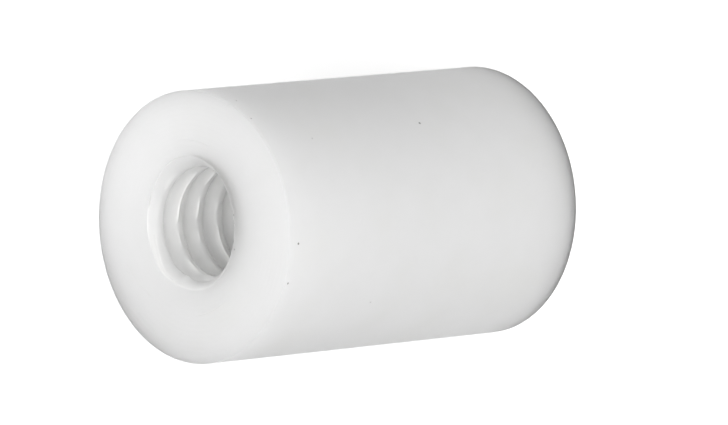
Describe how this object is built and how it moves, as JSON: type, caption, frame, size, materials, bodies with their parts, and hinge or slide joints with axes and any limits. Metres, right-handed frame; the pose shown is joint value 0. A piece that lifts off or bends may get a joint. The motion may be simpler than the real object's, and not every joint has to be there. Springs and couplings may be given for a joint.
{
  "type": "threaded round spacer",
  "caption": "Round nylon spacer: a plain cylinder with a tapped bore along its axis, countersunk at both ends.",
  "frame": {"origin": "centre of the rod's round at the lower end face", "axes": "+Z along the rod's axis, from the lower end face to the upper one; +X towards the side to which the bore is 0.2 mm off centre"},
  "size_m": [0.0126, 0.0126, 0.0191],
  "materials": {
    "natural_nylon": "natural milky nylon, turned, satin"
  },
  "bodies": {
    "root": {"spacer_body": "natural_nylon"}
  },
  "joints": []
}
